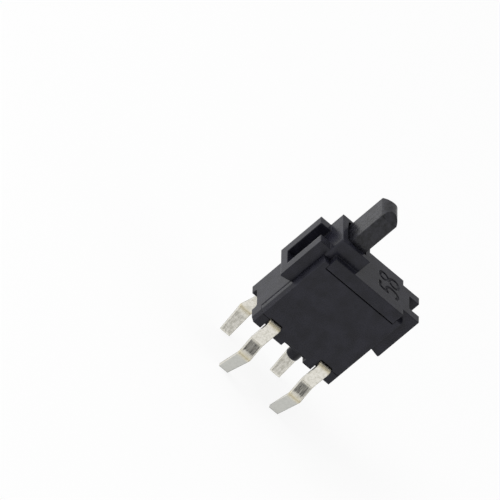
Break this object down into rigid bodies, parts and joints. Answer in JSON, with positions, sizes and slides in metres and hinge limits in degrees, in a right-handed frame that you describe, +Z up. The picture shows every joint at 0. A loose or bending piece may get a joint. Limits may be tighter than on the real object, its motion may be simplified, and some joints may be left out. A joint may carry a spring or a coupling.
{
  "type": "micro switch",
  "caption": "Small board-mounted micro switch: a tall spring-returned plunger in a square collar, a flat box body with a clip-on cover, slotted channels on both ends and kinked solder legs.",
  "frame": {"origin": "axis of the locating boss on the seating plane under the feet", "axes": "+Z up along the plunger's travel, +X along the body away from the plunger, -Y towards the cover"},
  "size_m": [0.009, 0.0058, 0.0158],
  "materials": {
    "housing_resin": "fine moulded satin",
    "cover_resin": "fine moulded satin",
    "plunger_resin": "matte with a faint fibre grain",
    "tinned_terminal": "dull tin plate over bronze strip",
    "contact_alloy": "rolled spring strip",
    "spring_steel": "drawn wire"
  },
  "bodies": {
    "case": {"housing": "housing_resin", "cover": "cover_resin", "return_spring": "spring_steel", "terminal_front_left": "tinned_terminal", "terminal_front_right": "tinned_terminal", "terminal_rear_left": "tinned_terminal", "terminal_rear_right": "tinned_terminal"},
    "slider": {"plunger": "plunger_resin", "contact_clip_left": "contact_alloy", "contact_clip_right": "contact_alloy"}
  },
  "joints": [
    {"name": "plunger_slide", "type": "slide", "parent": "case", "child": "slider", "axis": [0, 0, -1], "range_m": [0, 0.0025], "stiffness_N_per_m": 150, "springref_m": -0.002, "deforming": ["return_spring"]}
  ]
}
